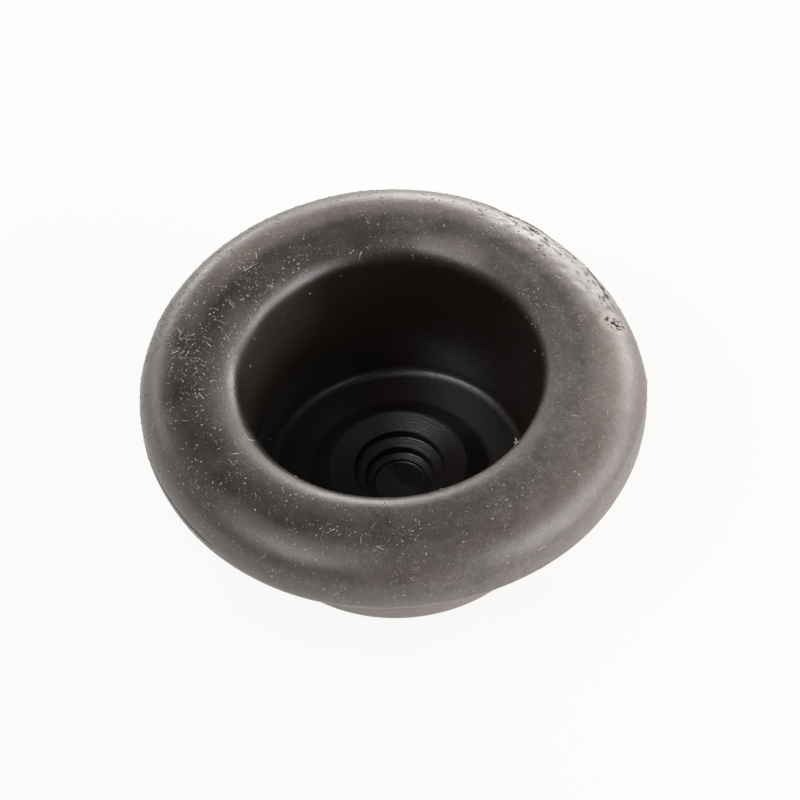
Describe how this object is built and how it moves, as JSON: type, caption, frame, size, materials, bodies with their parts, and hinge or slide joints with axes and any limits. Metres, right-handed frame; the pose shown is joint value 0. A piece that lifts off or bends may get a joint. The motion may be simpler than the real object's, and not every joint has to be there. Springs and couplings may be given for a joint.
{
  "type": "door plug",
  "caption": "Round rubber plug that closes a hole in a door panel: a wide rounded flange around a deep open cup, a retaining bead below it and a stepped floor.",
  "frame": {"origin": "centre of the flat foot, at the bottom of the plug", "axes": "+Z along the plug's axis, from the closed foot up to the flange and the cup's open mouth; +X and +Y are any pair square to it"},
  "size_m": [0.04, 0.04, 0.017],
  "materials": {
    "rubber": "matte, moulded, with fine pale dust"
  },
  "bodies": {
    "root": {"door_plug": "rubber"}
  },
  "joints": []
}
